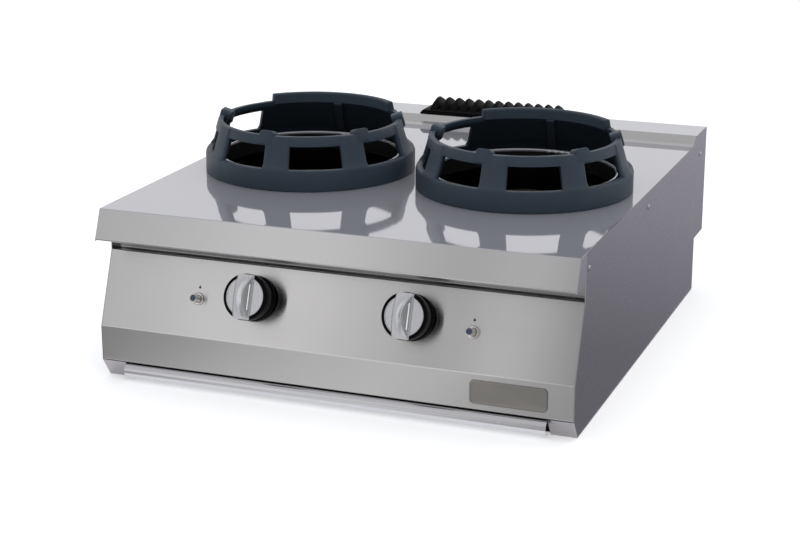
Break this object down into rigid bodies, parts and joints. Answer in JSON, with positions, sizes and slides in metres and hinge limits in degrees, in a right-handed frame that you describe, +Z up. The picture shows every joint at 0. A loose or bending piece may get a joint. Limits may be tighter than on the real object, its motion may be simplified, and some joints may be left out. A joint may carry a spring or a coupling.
{
  "type": "wok range",
  "caption": "Counter-top gas wok range in folded stainless sheet: cast rings over raised burner collars, sloping knob panel, push igniters, drip tray and rear flue grille.",
  "frame": {"origin": "middle of the footprint and of the four base fixing holes, on the surface the range stands on", "axes": "+X to the cook's right, +Y to the back of the range, +Z up"},
  "size_m": [0.804, 0.9288, 0.3873],
  "materials": {
    "stainless_sheet": "brushed stainless sheet",
    "worktop_sheet": "bright rolled stainless sheet",
    "galvanised_sheet": "plain zinc-coated sheet",
    "ring_iron": "dark blue-grey enamelled casting",
    "burner_iron": "bare dark casting",
    "cap_brass": "machined brass",
    "grille_black": "matt black enamel",
    "knob_black": "glossy black moulding",
    "knob_satin": "satin turned face",
    "valve_brass": "machined brass",
    "stem_steel": "ground steel",
    "pipe_steel": "zinc-plated pipe",
    "pipe_copper": "drawn copper",
    "igniter_plastic": "matt black moulding",
    "igniter_chrome": "bright plated collar and button",
    "badge_metal": "bare embossed plate",
    "tray_steel": "bright rolled stainless sheet",
    "screw_steel": "bright plated heads",
    "electrode_ceramic": "white glazed ceramic",
    "lead_rubber": "heat-proof silicone sleeve"
  },
  "bodies": {
    "chassis": {"worktop": "worktop_sheet", "side_panel_left": "stainless_sheet", "side_panel_right": "stainless_sheet", "control_panel": "stainless_sheet", "badge_plate": "badge_metal", "back_panel": "stainless_sheet", "base_pan": "galvanised_sheet", "front_rail": "galvanised_sheet", "rear_rail": "galvanised_sheet", "side_screws": "screw_steel", "burner_bowl_left": "stainless_sheet", "burner_bowl_right": "stainless_sheet", "burner_left": "burner_iron", "burner_right": "burner_iron", "pilot_bracket_left": "stainless_sheet", "pilot_bracket_right": "stainless_sheet", "pilot_burner_left": "valve_brass", "pilot_burner_right": "valve_brass", "pilot_tube_left": "pipe_copper", "pilot_tube_right": "pipe_copper", "thermocouple_left": "pipe_copper", "thermocouple_right": "pipe_copper", "spark_electrode_left": "electrode_ceramic", "spark_electrode_right": "electrode_ceramic", "spark_lead_left": "lead_rubber", "spark_lead_right": "lead_rubber", "heat_shield": "galvanised_sheet", "gas_valve_left": "valve_brass", "gas_valve_right": "valve_brass", "feed_pipe_left": "pipe_copper", "feed_pipe_right": "pipe_copper", "injector_left": "valve_brass", "injector_right": "valve_brass", "gas_manifold": "pipe_steel", "supply_pipe": "pipe_steel", "gas_inlet": "valve_brass", "igniter_collar_left": "igniter_chrome", "igniter_collar_right": "igniter_chrome", "igniter_left": "igniter_plastic", "igniter_right": "igniter_plastic", "tray_runner_left": "galvanised_sheet", "tray_runner_right": "galvanised_sheet", "flue_duct": "galvanised_sheet"},
    "valve_plug_left": {"valve_plug_left": "valve_brass"},
    "knob_left": {"knob_left": "knob_black", "knob_insert_left": "knob_satin", "valve_stem_left": "stem_steel"},
    "igniter_button_left": {"igniter_button_left": "igniter_chrome"},
    "wok_ring_left": {"wok_ring_left": "ring_iron"},
    "burner_cap_left": {"burner_cap_left": "cap_brass"},
    "valve_plug_right": {"valve_plug_right": "valve_brass"},
    "knob_right": {"knob_right": "knob_black", "knob_insert_right": "knob_satin", "valve_stem_right": "stem_steel"},
    "igniter_button_right": {"igniter_button_right": "igniter_chrome"},
    "wok_ring_right": {"wok_ring_right": "ring_iron"},
    "burner_cap_right": {"burner_cap_right": "cap_brass"},
    "drip_tray": {"drip_tray": "tray_steel"},
    "flue_grille": {"flue_grille": "grille_black"}
  },
  "joints": [
    {"name": "knob_turn_left", "type": "hinge", "parent": "chassis", "child": "valve_plug_left", "pos_m": [-0.133, -0.4167, 0.15879], "axis": [0, -0.9354, 0.3535], "range_deg": [0, 210]},
    {"name": "knob_press_left", "type": "slide", "parent": "valve_plug_left", "child": "knob_left", "axis": [0, 0.9354, -0.3535], "range_m": [0, 0.004], "stiffness_N_per_m": 900, "springref_m": -0.004},
    {"name": "igniter_press_left", "type": "slide", "parent": "chassis", "child": "igniter_button_left", "axis": [0, 0.9354, -0.3535], "range_m": [0, 0.005], "stiffness_N_per_m": 500, "springref_m": -0.003},
    {"name": "wok_ring_lift_left", "type": "slide", "parent": "chassis", "child": "wok_ring_left", "axis": [0, 0, 1], "range_m": [0, 0.12]},
    {"name": "burner_cap_lift_left", "type": "slide", "parent": "chassis", "child": "burner_cap_left", "axis": [0, 0, 1], "range_m": [0, 0.15]},
    {"name": "knob_turn_right", "type": "hinge", "parent": "chassis", "child": "valve_plug_right", "pos_m": [0.133, -0.4167, 0.15879], "axis": [0, -0.9354, 0.3535], "range_deg": [0, 210]},
    {"name": "knob_press_right", "type": "slide", "parent": "valve_plug_right", "child": "knob_right", "axis": [0, 0.9354, -0.3535], "range_m": [0, 0.004], "stiffness_N_per_m": 900, "springref_m": -0.004},
    {"name": "igniter_press_right", "type": "slide", "parent": "chassis", "child": "igniter_button_right", "axis": [0, 0.9354, -0.3535], "range_m": [0, 0.005], "stiffness_N_per_m": 500, "springref_m": -0.003},
    {"name": "wok_ring_lift_right", "type": "slide", "parent": "chassis", "child": "wok_ring_right", "axis": [0, 0, 1], "range_m": [0, 0.12]},
    {"name": "burner_cap_lift_right", "type": "slide", "parent": "chassis", "child": "burner_cap_right", "axis": [0, 0, 1], "range_m": [0, 0.15]},
    {"name": "drip_tray_slide", "type": "slide", "parent": "chassis", "child": "drip_tray", "axis": [0, -1, 0], "range_m": [0, 0.56]},
    {"name": "flue_grille_lift", "type": "slide", "parent": "chassis", "child": "flue_grille", "axis": [0, 0, 1], "range_m": [0, 0.08]}
  ]
}
